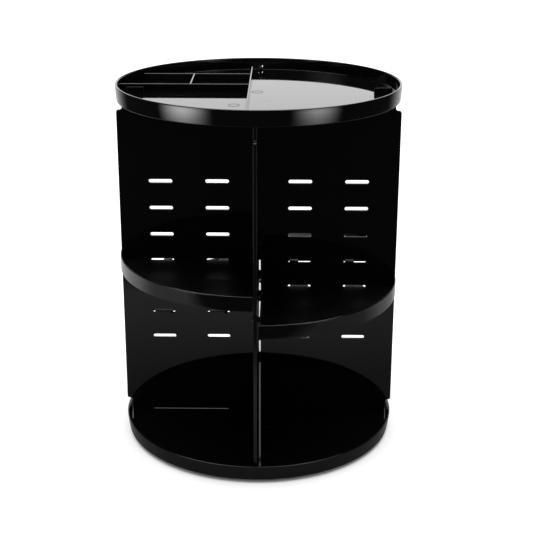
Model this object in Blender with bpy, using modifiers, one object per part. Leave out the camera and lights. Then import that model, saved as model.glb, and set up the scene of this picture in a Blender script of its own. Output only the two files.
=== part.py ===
"""A rotating cosmetic and nail polish rack.

Two slotted panels interlock in a cross and stand between a round bottom tray and a round
top tray. Four quarter-circle shelf trays hook into the panel slots. The bottom tray turns
on a ball bearing over a low base plate with rubber feet. Metres, +Z up, feet at z = 0.
"""

import math

import bmesh
import bpy
from mathutils import Matrix

MM = 0.001

# Round trays
BOTTOM_SKIRT_RADIUS = 114.9 * MM
BOTTOM_LIP_RADIUS = 116.5 * MM
TOP_SKIRT_RADIUS = 115.5 * MM
TOP_LIP_RADIUS = 116.4 * MM
TRAY_WALL = 2.1 * MM
TRAY_FLOOR = 2.0 * MM
RIM_ROUNDING = 0.6 * MM
BOTTOM_SKIRT_Z = 3.0 * MM
BOTTOM_FLOOR_TOP_Z = 9.6 * MM
BOTTOM_RIM_TOP_Z = 15.3 * MM
TOP_SKIRT_Z = 291.95 * MM
TOP_FLOOR_TOP_Z = 294.6 * MM
TOP_RIM_TOP_Z = 304.7 * MM
TRAY_STEPS = 64

# Dividers of the top tray
DIVIDER_THICKNESS = 1.6 * MM
DIVIDER_TOP_Z = 300.7 * MM
DIVIDER_FOOT_Z = 293.6 * MM
DIVIDER_STEP = 0.05 * MM
CENTRE_DIVIDER_X = -7.6 * MM
FRONT_DIVIDER_Y = 8.0 * MM
REAR_DIVIDER_Y = 56.0 * MM
SHORT_DIVIDER_X = -56.4 * MM
RIM_HOLE_RADIUS = 1.4 * MM
RIM_HOLE_Z = 297.6 * MM

# Slotted panels
PANEL_THICKNESS = 2.8 * MM
PANEL_HALF_WIDTH = 117.1 * MM
NECK_HALF_WIDTH = 112.4 * MM
LOWER_SHOULDER_Z = 20.5 * MM
UPPER_SHOULDER_Z = 280.7 * MM
SHOULDER_ROUNDING = 2.0 * MM
CROSSING_Z = 151.0 * MM
SLIT_HALF_WIDTH = 2.2 * MM
MAIN_SLIT_RIGHT = 1.6 * MM
FOOT_RELIEF = 0.6 * MM
FOOT_RELIEF_END = 27.0 * MM
CROSS_PANEL_X = -0.45 * MM
TAB_INNER = 94.0 * MM
TAB_OUTER = 109.0 * MM
TAB_BOTTOM_Z = 3.6 * MM
TAB_TOP_Z = 299.3 * MM
TAB_ROUNDING = 1.5 * MM
CLEARANCE = 0.3 * MM

# Slots of the panels
SLOT_ROWS = 7
SLOT_PITCH = 23.31 * MM
SLOT_COLUMNS = (34.8 * MM, 82.2 * MM)
SLOT_LENGTH = 19.8 * MM
SLOT_HEIGHT = 3.3 * MM
SLOT_DROP = 0.55 * MM
SLOT_END_SEGMENTS = 6

# Quarter-circle shelf trays
SHELF_RADIUS = 117.2 * MM
SHELF_SIDE_GAP = 2.2 * MM
SHELF_FLOOR = 2.3 * MM
SHELF_RISE = 0.35 * MM
SHELF_RIM_HEIGHT = 9.8 * MM
SHELF_WALL = 2.0 * MM
SHELF_CORNER_ROUNDING = 6.0 * MM
SHELF_ARC_SEGMENTS = 22
WIDE_TONGUE = (-7.9 * MM, 7.9 * MM)
NARROW_TONGUE = (-8.4 * MM, -0.9 * MM)
TONGUE_REACH = 4.0 * MM
TONGUE_ROUNDING = 3.0 * MM
SHELVES = (
    ("shelf_back_right", 0, 4),
    ("shelf_back_left", 90, 6),
    ("shelf_front_left", 180, 4),
    ("shelf_front_right", 270, 5),
)

# Turntable under the bottom tray
BASE_RADIUS = 86.0 * MM
BASE_UNDERSIDE_Z = 1.4 * MM
BASE_TOP_Z = 3.4 * MM
HUB_TOP_Z = 5.0 * MM
HUB_UNDERSIDE_Z = 3.2 * MM
HUB_HOLE_RADIUS = 2.0 * MM
BASE_STEPS = 48
RACE_RADIUS = 66.0 * MM
RACE_DEPTH = 0.4 * MM
RACE_HALF_FLAT = 1.0 * MM
RACE_HALF_MOUTH = 2.1 * MM
BALL_COUNT = 8
BALL_RADIUS = 2.35 * MM
BALL_Z = 5.5 * MM
CAGE_INNER = 60.0 * MM
CAGE_OUTER = 72.0 * MM
CAGE_BOTTOM_Z = 4.6 * MM
CAGE_TOP_Z = 6.5 * MM
CAGE_POCKET_RADIUS = 2.7 * MM
BOSS_RADIUS = 7.0 * MM
BOSS_BOTTOM_Z = 5.3 * MM
BOSS_HOLE_RADIUS = 1.6 * MM
BOSS_HOLE_TOP_Z = 9.0 * MM
SCREW_SHANK_RADIUS = 1.45 * MM
SCREW_HEAD_RADIUS = 3.6 * MM
SCREW_HEAD_BOTTOM_Z = 0.9 * MM
SCREW_HEAD_TOP_Z = 2.3 * MM
SCREW_TIP_Z = 8.8 * MM
WASHER_INNER = 2.0 * MM
WASHER_OUTER = 4.6 * MM
WASHER_BOTTOM_Z = 2.5 * MM
WASHER_TOP_Z = 3.0 * MM
FOOT_COUNT = 6
FOOT_RADIUS = 6.0 * MM
FOOT_RING_RADIUS = 77.0 * MM
FOOT_HEIGHT = 1.25 * MM
FOOT_EDGE = 0.3 * MM

COLOURS = {
    "gloss_black": ((0.012, 0.012, 0.013), 0.08, 0.0),
    "base_black": ((0.02, 0.02, 0.021), 0.35, 0.0),
    "cage_white": ((0.75, 0.75, 0.72), 0.4, 0.0),
    "steel": ((0.62, 0.62, 0.63), 0.2, 1.0),
    "rubber": ((0.03, 0.03, 0.03), 0.8, 0.0),
}


def start_scene():
    """Empty the scene and make the collections for parts and cutters."""
    for item in list(bpy.data.objects):
        bpy.data.objects.remove(item, do_unlink=True)
    collections = []
    for name in ("nail_polish_rack", "cutters"):
        collection = bpy.data.collections.new(name)
        bpy.context.scene.collection.children.link(collection)
        collections.append(collection)
    return collections


PARTS, CUTTERS = start_scene()


def make_material(name, kind):
    """A Principled material of one of the kinds in COLOURS, for one object."""
    colour, roughness, metallic = COLOURS[kind]
    material = bpy.data.materials.new(name)
    material.use_nodes = True
    shader = material.node_tree.nodes["Principled BSDF"]
    shader.inputs["Base Color"].default_value = (*colour, 1.0)
    shader.inputs["Roughness"].default_value = roughness
    shader.inputs["Metallic"].default_value = metallic
    return material


def add_part(name, data, kind, parent=None):
    """Link a new part that holds the given mesh or curve."""
    part = bpy.data.objects.new(name, data)
    PARTS.objects.link(part)
    part.parent = parent
    if not data.materials:
        data.materials.append(None)
    slot = part.material_slots[0]
    slot.link = "OBJECT"
    slot.material = make_material(name, kind)
    return part


def add_axis(name):
    """An empty on the rack's vertical axis, which carries what turns together."""
    empty = bpy.data.objects.new(name, None)
    PARTS.objects.link(empty)
    return empty


def add_cutter(name, data):
    """Link a hidden object that a Boolean modifier uses."""
    cutter = bpy.data.objects.new(name, data)
    cutter.hide_render = True
    cutter.display_type = "WIRE"
    CUTTERS.objects.link(cutter)
    return cutter


def apply_boolean(part, cutter, operation):
    modifier = part.modifiers.new(cutter.name, "BOOLEAN")
    modifier.operation = operation
    modifier.solver = "EXACT"
    modifier.object = cutter


def mesh_from_bmesh(name, bm):
    bmesh.ops.recalc_face_normals(bm, faces=bm.faces)
    mesh = bpy.data.meshes.new(name)
    bm.to_mesh(mesh)
    bm.free()
    return mesh


def turned_part(name, profile, closed, steps, kind, parent=None):
    """A part turned about +Z from (radius, height) points, outer side from top to bottom."""
    mesh = bpy.data.meshes.new(name)
    points = [(radius, 0.0, height) for radius, height in profile]
    edges = [(i, i + 1) for i in range(len(points) - 1)]
    if closed:
        edges.append((len(points) - 1, 0))
    mesh.from_pydata(points, edges, [])
    part = add_part(name, mesh, kind, parent)
    screw = part.modifiers.new("turn", "SCREW")
    screw.axis = "Z"
    screw.steps = steps
    screw.render_steps = steps
    screw.use_merge_vertices = True
    screw.merge_threshold = 0.00001
    return part


def box_mesh(name, low, high):
    """A box between two opposite corners."""
    bm = bmesh.new()
    size = [high[i] - low[i] for i in range(3)]
    centre = [(high[i] + low[i]) / 2 for i in range(3)]
    matrix = Matrix.Translation(centre) @ Matrix.Diagonal((*size, 1.0))
    bmesh.ops.create_cube(bm, size=1.0, matrix=matrix)
    return mesh_from_bmesh(name, bm)


def cylinder_mesh(name, radius, start, end, segments):
    """A cylinder along the line from start to end."""
    bm = bmesh.new()
    run = [end[i] - start[i] for i in range(3)]
    length = math.sqrt(sum(value * value for value in run))
    centre = [(end[i] + start[i]) / 2 for i in range(3)]
    polar = math.acos(run[2] / length)
    azimuth = math.atan2(run[1], run[0])
    matrix = (
        Matrix.Translation(centre)
        @ Matrix.Rotation(azimuth, 4, "Z")
        @ Matrix.Rotation(polar, 4, "Y")
    )
    bmesh.ops.create_cone(
        bm, cap_ends=True, segments=segments, radius1=radius, radius2=radius, depth=length, matrix=matrix
    )
    return mesh_from_bmesh(name, bm)


def rounded(corners, segments=4):
    """The points of a polygon whose (x, y, rounding) corners are replaced by arcs."""
    points = []
    count = len(corners)
    for i, (x, y, rounding) in enumerate(corners):
        if rounding == 0.0:
            points.append((x, y))
            continue
        before = corners[i - 1]
        after = corners[(i + 1) % count]
        to_before = math.atan2(before[1] - y, before[0] - x)
        to_after = math.atan2(after[1] - y, after[0] - x)
        opening = (to_after - to_before + math.pi) % (2 * math.pi) - math.pi
        half = opening / 2
        middle = to_before + half
        reach = rounding / abs(math.sin(half))
        centre_x = x + reach * math.cos(middle)
        centre_y = y + reach * math.sin(middle)
        sweep = (math.pi - abs(opening)) * math.copysign(1.0, opening)
        for k in range(segments + 1):
            angle = middle + math.pi + sweep * (0.5 - k / segments)
            points.append((centre_x + rounding * math.cos(angle), centre_y + rounding * math.sin(angle)))
    return points


def stadium(centre_x, centre_y, half_length, half_height, segments):
    """The outline of a slot with round ends."""
    points = []
    straight = half_length - half_height
    for side in (1, -1):
        start = -math.pi / 2 if side == 1 else math.pi / 2
        for k in range(segments + 1):
            angle = start + math.pi * k / segments
            x = centre_x + side * straight + half_height * math.cos(angle)
            points.append((x, centre_y + half_height * math.sin(angle)))
    return points


def row_z(row):
    """Height of a slot row, counted from 1 at the top."""
    middle_row = (SLOT_ROWS + 1) / 2
    return CROSSING_Z + (middle_row - row) * SLOT_PITCH


def panel_side():
    """The right-hand edge of a panel, from the bottom edge near the middle to the top edge."""
    bottom_edge = BOTTOM_FLOOR_TOP_Z + CLEARANCE
    top_edge = TOP_FLOOR_TOP_Z - TRAY_FLOOR - CLEARANCE
    return [
        (TAB_INNER, bottom_edge, 0.0),
        (TAB_INNER, TAB_BOTTOM_Z, TAB_ROUNDING),
        (TAB_OUTER, TAB_BOTTOM_Z, TAB_ROUNDING),
        (TAB_OUTER, bottom_edge, 0.0),
        (NECK_HALF_WIDTH, bottom_edge, 0.0),
        (NECK_HALF_WIDTH, LOWER_SHOULDER_Z, SHOULDER_ROUNDING),
        (PANEL_HALF_WIDTH, LOWER_SHOULDER_Z, SHOULDER_ROUNDING),
        (PANEL_HALF_WIDTH, UPPER_SHOULDER_Z, SHOULDER_ROUNDING),
        (NECK_HALF_WIDTH, UPPER_SHOULDER_Z, SHOULDER_ROUNDING),
        (NECK_HALF_WIDTH, top_edge, 0.0),
        (TAB_OUTER, top_edge, 0.0),
        (TAB_OUTER, TAB_TOP_Z, TAB_ROUNDING),
        (TAB_INNER, TAB_TOP_Z, TAB_ROUNDING),
        (TAB_INNER, top_edge, 0.0),
    ]


def panel_outline(open_below):
    """A panel's outline with its slit, which is open below or above.

    The panel that is open below stands a little clear of the tray's floor on its left,
    and the cross panel sits near the right-hand side of its slit.
    """
    right = panel_side()
    left = [(-x, z, rounding) for x, z, rounding in reversed(right)]
    if open_below:
        mouth = right[0][1]
        end = CROSSING_Z + CLEARANCE
        left[-1] = (-TAB_INNER, mouth + FOOT_RELIEF, 0.0)
        relief = [(-FOOT_RELIEF_END, mouth + FOOT_RELIEF, 0.0), (-FOOT_RELIEF_END, mouth, 0.0)]
        slit = [(-SLIT_HALF_WIDTH, mouth, 0.0), (-SLIT_HALF_WIDTH, end, 0.0)]
        slit += [(MAIN_SLIT_RIGHT, end, 0.0), (MAIN_SLIT_RIGHT, mouth, 0.0)]
        return rounded(right + left + relief + slit)
    mouth = right[-1][1]
    end = CROSSING_Z - CLEARANCE
    slit = [(SLIT_HALF_WIDTH, mouth, 0.0), (SLIT_HALF_WIDTH, end, 0.0)]
    slit += [(-SLIT_HALF_WIDTH, end, 0.0), (-SLIT_HALF_WIDTH, mouth, 0.0)]
    return rounded(right + slit + left)


def add_panel(name, open_below, turn, x, parent):
    """A flat upright panel, cut from a sheet with its slots and its slit."""
    curve = bpy.data.curves.new(name, "CURVE")
    curve.dimensions = "2D"
    curve.fill_mode = "BOTH"
    curve.extrude = PANEL_THICKNESS / 2
    loops = [panel_outline(open_below)]
    for row in range(1, SLOT_ROWS + 1):
        for column in SLOT_COLUMNS:
            for side in (-1, 1):
                centre_z = row_z(row) - SLOT_DROP
                loops.append(
                    stadium(side * column, centre_z, SLOT_LENGTH / 2, SLOT_HEIGHT / 2, SLOT_END_SEGMENTS)
                )
    for loop in loops:
        spline = curve.splines.new("POLY")
        spline.points.add(len(loop) - 1)
        for point, (along, height) in zip(spline.points, loop):
            point.co = (along, height, 0.0, 1.0)
        spline.use_cyclic_u = True
    panel = add_part(name, curve, "gloss_black", parent)
    panel.location = (x, 0.0, 0.0)
    panel.rotation_euler = (math.pi / 2, 0.0, turn)
    return panel


def rim_profile(radius, wall, top_z):
    """Rounded top of a rim, from its inner side over to its outer side."""
    inner = radius - wall
    return [
        (inner, top_z - RIM_ROUNDING),
        (inner + 0.3 * RIM_ROUNDING, top_z - 0.3 * RIM_ROUNDING),
        (inner + RIM_ROUNDING, top_z),
        (radius - RIM_ROUNDING, top_z),
        (radius - 0.3 * RIM_ROUNDING, top_z - 0.3 * RIM_ROUNDING),
        (radius, top_z - RIM_ROUNDING),
    ]


def skirt_profile(radius, wall, skirt_z, floor_bottom_z):
    """Lower edge of a tray's wall, from its outer side to the underside of the floor."""
    inner = radius - wall
    small = 0.4 * MM
    return [
        (radius, skirt_z + small),
        (radius - small, skirt_z),
        (inner + small, skirt_z),
        (inner, skirt_z + small),
        (inner, floor_bottom_z),
    ]


def race_profile(z, depth):
    """The groove that the balls run in, from its outer side to its inner side."""
    return [
        (RACE_RADIUS + RACE_HALF_MOUTH, z),
        (RACE_RADIUS + RACE_HALF_FLAT, z + depth),
        (RACE_RADIUS - RACE_HALF_FLAT, z + depth),
        (RACE_RADIUS - RACE_HALF_MOUTH, z),
    ]


def tab_slot_cutters(tray_name, low_z, high_z):
    """Cutters for the four slots in a tray's floor that take the panels' tabs."""
    half_length = (TAB_OUTER - TAB_INNER) / 2 + CLEARANCE
    half_width = PANEL_THICKNESS / 2 + CLEARANCE
    centre = (TAB_OUTER + TAB_INNER) / 2
    cutters = []
    for side in (-1, 1):
        low = (side * centre - half_length, -half_width, low_z)
        high = (side * centre + half_length, half_width, high_z)
        name = f"{tray_name}_main_tab_{side}"
        cutters.append(add_cutter(name, box_mesh(name, low, high)))
        low = (CROSS_PANEL_X - half_width, side * centre - half_length, low_z)
        high = (CROSS_PANEL_X + half_width, side * centre + half_length, high_z)
        name = f"{tray_name}_cross_tab_{side}"
        cutters.append(add_cutter(name, box_mesh(name, low, high)))
    return cutters


def add_bottom_tray(parent):
    """Round tray with a flared rim above, and below it a skirt, a ball race and the pivot boss."""
    radius = BOTTOM_SKIRT_RADIUS
    underside = BOTTOM_FLOOR_TOP_Z - TRAY_FLOOR
    profile = [(0.0, BOTTOM_FLOOR_TOP_Z), (radius - TRAY_WALL, BOTTOM_FLOOR_TOP_Z)]
    profile += [(radius - TRAY_WALL + RIM_ROUNDING, BOTTOM_FLOOR_TOP_Z + RIM_ROUNDING)]
    profile += rim_profile(BOTTOM_LIP_RADIUS, TRAY_WALL, BOTTOM_RIM_TOP_Z)
    profile += skirt_profile(radius, TRAY_WALL, BOTTOM_SKIRT_Z, underside)
    profile += race_profile(underside, RACE_DEPTH)
    profile += [(BOSS_RADIUS, underside), (BOSS_RADIUS, BOSS_BOTTOM_Z)]
    profile += [(BOSS_HOLE_RADIUS, BOSS_BOTTOM_Z), (BOSS_HOLE_RADIUS, BOSS_HOLE_TOP_Z)]
    profile += [(0.0, BOSS_HOLE_TOP_Z)]
    tray = turned_part("bottom_tray", profile, False, TRAY_STEPS, "gloss_black", parent)
    for cutter in tab_slot_cutters("bottom", underside - 1 * MM, BOTTOM_FLOOR_TOP_Z + 1 * MM):
        apply_boolean(tray, cutter, "DIFFERENCE")


def add_top_tray(parent):
    """Round tray whose left half is divided, with slots for the panels' upper tabs."""
    radius = TOP_SKIRT_RADIUS
    underside = TOP_FLOOR_TOP_Z - TRAY_FLOOR
    profile = [(0.0, TOP_FLOOR_TOP_Z), (radius - TRAY_WALL - RIM_ROUNDING, TOP_FLOOR_TOP_Z)]
    profile += [(radius - TRAY_WALL, TOP_FLOOR_TOP_Z + RIM_ROUNDING)]
    profile += rim_profile(TOP_LIP_RADIUS, TRAY_WALL, TOP_RIM_TOP_Z)
    profile += skirt_profile(radius, TRAY_WALL, TOP_SKIRT_Z, underside)
    profile += [(0.0, underside)]
    tray = turned_part("top_tray", profile, False, TRAY_STEPS, "gloss_black", parent)
    for number, (low, high) in enumerate(divider_boxes()):
        name = f"divider_{number}"
        apply_boolean(tray, add_cutter(name, box_mesh(name, low, high)), "UNION")
    for cutter in tab_slot_cutters("top", underside - 1 * MM, TOP_FLOOR_TOP_Z + 1 * MM):
        apply_boolean(tray, cutter, "DIFFERENCE")
    inner = radius - TRAY_WALL
    start = (0.5 * MM, inner - 2 * MM, RIM_HOLE_Z)
    end = (0.5 * MM, radius + 2 * MM, RIM_HOLE_Z)
    hole = add_cutter("rim_hole", cylinder_mesh("rim_hole", RIM_HOLE_RADIUS, start, end, 16))
    apply_boolean(tray, hole, "DIFFERENCE")


def divider_boxes():
    """Corners of the dividers, each of which ends inside the rim or another divider."""
    half = DIVIDER_THICKNESS / 2
    middle = TOP_SKIRT_RADIUS - TRAY_WALL / 2
    walls = (
        (CENTRE_DIVIDER_X, "Y", -rim_reach(CENTRE_DIVIDER_X, middle), rim_reach(CENTRE_DIVIDER_X, middle)),
        (FRONT_DIVIDER_Y, "X", -rim_reach(FRONT_DIVIDER_Y, middle), CENTRE_DIVIDER_X),
        (REAR_DIVIDER_Y, "X", -rim_reach(REAR_DIVIDER_Y, middle), CENTRE_DIVIDER_X),
        (SHORT_DIVIDER_X, "Y", FRONT_DIVIDER_Y, REAR_DIVIDER_Y),
    )
    boxes = []
    for number, (place, along, start, end) in enumerate(walls):
        top = DIVIDER_TOP_Z - number * DIVIDER_STEP
        foot = DIVIDER_FOOT_Z + number * DIVIDER_STEP
        if along == "Y":
            boxes.append(((place - half, start, foot), (place + half, end, top)))
        else:
            boxes.append(((start, place - half, foot), (end, place + half, top)))
    return boxes


def rim_reach(offset, radius):
    """How far a straight wall at an offset from the axis runs to meet a circle."""
    return math.sqrt(radius * radius - offset * offset)


def shelf_side(tongue):
    """Edge of a shelf along +Y, from the rim to the corner, with a tongue for each slot column."""
    tip = -TONGUE_REACH
    corners = []
    for column in reversed(SLOT_COLUMNS):
        near = column + tongue[0]
        far = column + tongue[1]
        corners.append((SHELF_SIDE_GAP, far, 0.0))
        corners.append((tip, far, TONGUE_ROUNDING))
        corners.append((tip, near, TONGUE_ROUNDING))
        corners.append((SHELF_SIDE_GAP, near, 0.0))
    return corners


def swapped(corners):
    """The same edge along +X, from the corner to the rim."""
    return [(y, x, rounding) for x, y, rounding in reversed(corners)]


def arc_points(radius):
    """Points round the curved edge, between the two straight edges of a shelf."""
    start = math.asin(SHELF_SIDE_GAP / radius)
    sweep = math.pi / 2 - 2 * start
    points = []
    for i in range(SHELF_ARC_SEGMENTS + 1):
        angle = start + sweep * i / SHELF_ARC_SEGMENTS
        points.append((radius * math.cos(angle), radius * math.sin(angle)))
    return points


def shelf_mesh():
    """A quarter-circle tray in the +X +Y quarter, its floor's top at z = 0."""
    inner_radius = SHELF_RADIUS - SHELF_WALL
    inner = arc_points(inner_radius)
    corner = [(SHELF_SIDE_GAP, SHELF_SIDE_GAP, SHELF_CORNER_ROUNDING)]
    straight = [(inner[-1][0], inner[-1][1], 0.0)]
    straight += shelf_side(WIDE_TONGUE) + corner + swapped(shelf_side(NARROW_TONGUE))
    straight += [(inner[0][0], inner[0][1], 0.0)]
    edge = rounded(straight)
    bm = bmesh.new()
    outer = arc_points(SHELF_RADIUS)
    low = [bm.verts.new((x, y, -SHELF_FLOOR)) for x, y in outer + edge]
    level = [bm.verts.new((x, y, 0.0)) for x, y in outer + edge]
    bm.faces.new(list(reversed(low)))
    for i in range(len(low)):
        after = (i + 1) % len(low)
        bm.faces.new((low[i], low[after], level[after], level[i]))
    last = len(outer) - 1
    foot = [level[-1]] + [bm.verts.new((x, y, 0.0)) for x, y in inner[1:-1]] + [level[last + 1]]
    bm.faces.new(foot + level[last + 2 : -1])
    columns = [[vert] for vert in level[: last + 1]]
    for radius, z in reversed(rim_profile(SHELF_RADIUS, SHELF_WALL, SHELF_RIM_HEIGHT)):
        for column, (x, y) in zip(columns, arc_points(radius)):
            column.append(bm.verts.new((x, y, z)))
    for column, vert in zip(columns, foot):
        column.append(vert)
    for here, there in zip(columns, columns[1:]):
        for k in range(len(here) - 1):
            bm.faces.new((here[k], there[k], there[k + 1], here[k + 1]))
    bm.faces.new(list(reversed(columns[0])))
    bm.faces.new(columns[-1])
    return mesh_from_bmesh("shelf", bm)


def add_shelves(parent):
    """Four equal shelf trays, each in its own quarter and at its own slot row."""
    mesh = shelf_mesh()
    for name, turn, row in SHELVES:
        shelf = add_part(name, mesh, "gloss_black", parent)
        shelf.location = (0.0, 0.0, row_z(row) + SHELF_RISE)
        shelf.rotation_euler = (0.0, 0.0, math.radians(turn))


def add_base():
    """Base plate with a raised hub and a ball race."""
    profile = [(HUB_HOLE_RADIUS, HUB_TOP_Z), (12 * MM, HUB_TOP_Z), (14 * MM, BASE_TOP_Z)]
    profile += reversed(race_profile(BASE_TOP_Z, -RACE_DEPTH))
    profile += [(BASE_RADIUS - 0.8 * MM, BASE_TOP_Z), (BASE_RADIUS, BASE_TOP_Z - 0.6 * MM)]
    profile += [(BASE_RADIUS, BASE_UNDERSIDE_Z), (13 * MM, BASE_UNDERSIDE_Z)]
    profile += [(11 * MM, HUB_UNDERSIDE_Z), (HUB_HOLE_RADIUS, HUB_UNDERSIDE_Z)]
    turned_part("base_plate", profile, True, BASE_STEPS, "base_black")


def add_feet():
    """Flat rubber pads under the base plate."""
    profile = [
        (0.0, FOOT_HEIGHT),
        (FOOT_RADIUS, FOOT_HEIGHT),
        (FOOT_RADIUS, FOOT_EDGE),
        (FOOT_RADIUS - FOOT_EDGE, 0.0),
        (0.0, 0.0),
    ]
    for number in range(FOOT_COUNT):
        angle = 2 * math.pi * number / FOOT_COUNT
        foot = turned_part(f"foot_{number + 1}", profile, False, 20, "rubber")
        foot.location = (FOOT_RING_RADIUS * math.cos(angle), FOOT_RING_RADIUS * math.sin(angle), 0.0)


def add_bearing(parent):
    """Ring cage with a pocket round each of its balls."""
    profile = [
        (CAGE_INNER, CAGE_TOP_Z),
        (CAGE_OUTER, CAGE_TOP_Z),
        (CAGE_OUTER, CAGE_BOTTOM_Z),
        (CAGE_INNER, CAGE_BOTTOM_Z),
    ]
    cage = turned_part("ball_cage", profile, True, BASE_STEPS, "cage_white", parent)
    bm = bmesh.new()
    bmesh.ops.create_uvsphere(bm, u_segments=12, v_segments=8, radius=BALL_RADIUS)
    ball_mesh = mesh_from_bmesh("ball", bm)
    for number in range(BALL_COUNT):
        angle = 2 * math.pi * (number + 0.5) / BALL_COUNT
        x = RACE_RADIUS * math.cos(angle)
        y = RACE_RADIUS * math.sin(angle)
        name = f"pocket_{number + 1}"
        start = (x, y, CAGE_BOTTOM_Z - 1 * MM)
        end = (x, y, CAGE_TOP_Z + 1 * MM)
        pocket = add_cutter(name, cylinder_mesh(name, CAGE_POCKET_RADIUS, start, end, 16))
        apply_boolean(cage, pocket, "DIFFERENCE")
        ball = add_part(f"ball_{number + 1}", ball_mesh, "steel", parent)
        ball.location = (x, y, BALL_Z)


def add_pivot(parent):
    """Screw that holds the tray to the base plate, and the washer over its head."""
    head_edge = SCREW_HEAD_RADIUS - 0.8 * MM
    profile = [
        (0.0, SCREW_TIP_Z),
        (SCREW_SHANK_RADIUS - 0.4 * MM, SCREW_TIP_Z),
        (SCREW_SHANK_RADIUS, SCREW_TIP_Z - 0.6 * MM),
        (SCREW_SHANK_RADIUS, SCREW_HEAD_TOP_Z),
        (SCREW_HEAD_RADIUS, SCREW_HEAD_TOP_Z),
        (SCREW_HEAD_RADIUS, SCREW_HEAD_BOTTOM_Z + 0.6 * MM),
        (head_edge, SCREW_HEAD_BOTTOM_Z),
        (0.0, SCREW_HEAD_BOTTOM_Z),
    ]
    screw = turned_part("pivot_screw", profile, False, 24, "steel", parent)
    low = (-2.0 * MM, -0.4 * MM, SCREW_HEAD_BOTTOM_Z - 1 * MM)
    high = (2.0 * MM, 0.4 * MM, SCREW_HEAD_BOTTOM_Z + 0.7 * MM)
    first = add_cutter("drive_slot", box_mesh("drive_slot", low, high))
    apply_boolean(screw, first, "DIFFERENCE")
    ring = [
        (WASHER_INNER, WASHER_TOP_Z),
        (WASHER_OUTER, WASHER_TOP_Z),
        (WASHER_OUTER, WASHER_BOTTOM_Z),
        (WASHER_INNER, WASHER_BOTTOM_Z),
    ]
    turned_part("pivot_washer", ring, True, 24, "steel")


def build():
    carousel = add_axis("carousel_axis")
    bearing = add_axis("bearing_axis")
    add_base()
    add_feet()
    add_bearing(bearing)
    add_pivot(carousel)
    add_bottom_tray(carousel)
    add_panel("main_panel", True, 0.0, 0.0, carousel)
    add_panel("cross_panel", False, math.pi / 2, CROSS_PANEL_X, carousel)
    add_shelves(carousel)
    add_top_tray(carousel)


build()
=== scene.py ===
"""Nail polish rack: finished shapes, materials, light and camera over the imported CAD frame.

Metres, +Z up. The camera looks along +Y. The main panel stands in the XZ plane, and the
cross panel just to the left of the YZ plane.
"""

import math
import random

import bmesh
import bpy
from mathutils import Matrix, Vector


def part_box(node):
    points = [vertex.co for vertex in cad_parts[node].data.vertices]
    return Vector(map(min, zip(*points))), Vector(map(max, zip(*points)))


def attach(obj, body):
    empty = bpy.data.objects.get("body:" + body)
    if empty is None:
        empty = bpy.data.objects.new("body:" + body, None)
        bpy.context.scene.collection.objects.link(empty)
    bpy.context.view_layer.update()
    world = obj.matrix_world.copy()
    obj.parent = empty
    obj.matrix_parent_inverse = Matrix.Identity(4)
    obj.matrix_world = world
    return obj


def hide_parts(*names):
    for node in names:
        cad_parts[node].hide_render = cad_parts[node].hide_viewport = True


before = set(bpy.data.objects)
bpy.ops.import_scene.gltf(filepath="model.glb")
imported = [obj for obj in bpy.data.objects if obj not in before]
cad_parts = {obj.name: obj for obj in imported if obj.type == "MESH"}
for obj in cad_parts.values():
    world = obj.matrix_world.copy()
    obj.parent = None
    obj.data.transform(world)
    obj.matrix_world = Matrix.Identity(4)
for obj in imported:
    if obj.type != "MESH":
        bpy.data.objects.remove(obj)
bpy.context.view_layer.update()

MM = 0.001
RANDOM = random.Random(11)

# ---------------------------------------------------------------------------
# Sizes that the CAD boxes do not give
# ---------------------------------------------------------------------------
# The gap that the panels' tabs, feet and slits keep
CLEARANCE = 0.3 * MM

# Round trays. The skirt is the outer foot of the flared rim.
TRAY_STEPS = 240
TRAY_WALL = 2.1 * MM
TRAY_FLOOR = 2.0 * MM
TOP_SKIRT_RADIUS = 115.5 * MM
BOTTOM_SKIRT_RADIUS = 114.9 * MM
TOP_FLOOR_TOP_Z = 294.6 * MM
BOTTOM_FLOOR_TOP_Z = 9.6 * MM
RIM_ROUNDING = 0.75 * MM
SKIRT_ROUNDING = 0.45 * MM
INNER_ROUNDING = 0.3 * MM
TOP_FLOOR_FILLET = 0.12 * MM
BOTTOM_FLOOR_FILLET = 0.3 * MM
WALL_BULGE = 0.12 * MM

# The top tray's dividers. Where two meet, the shorter one is lower by the step.
DIVIDER_X = -7.6 * MM
FRONT_DIVIDER_Y = 8.0 * MM
REAR_DIVIDER_Y = 56.0 * MM
SHORT_DIVIDER_X = -56.4 * MM
DIVIDER_TOP_Z = 300.7 * MM
DIVIDER_STEP = 0.04 * MM
DIVIDER_THICKNESS = 1.5 * MM
DIVIDER_DRAFT = 0.05 * MM
DIVIDER_SINK = 0.5 * MM

# Small marks on the top tray. Those in its rim are a direction in degrees, a depth and a radius,
# and the first goes right through.
RIM_MARK_Z = 297.2 * MM
RIM_MARKS = ((89.75, 6.0 * MM, 1.0 * MM), (-17.57, 0.9 * MM, 0.8 * MM))
GATE_MARK_PLACES = ((-1.2 * MM, 5.0 * MM), (-18.5 * MM, -49.0 * MM))
GATE_MARK_STEPS = 48

# The bottom tray's underside: (radius, height over the underside) points in mm, and its ribs.
BALL_RACE = ((72.0, 0.0), (70.0, 0.0), (68.1, 0.0), (67.0, 0.4), (65.0, 0.4), (63.9, 0.0), (62.0, 0.0))
SCREW_BOSS = ((7.4, 0.0), (7.0, -2.3), (1.6, -2.3), (1.6, 1.4), (0.0, 1.4))
RIB_COUNT = 12
RIB_INNER = 90.0 * MM
RIB_OUTER = 112.9 * MM
RIB_THICKNESS = 1.2 * MM
RIB_LIFT = 0.8 * MM

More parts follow.
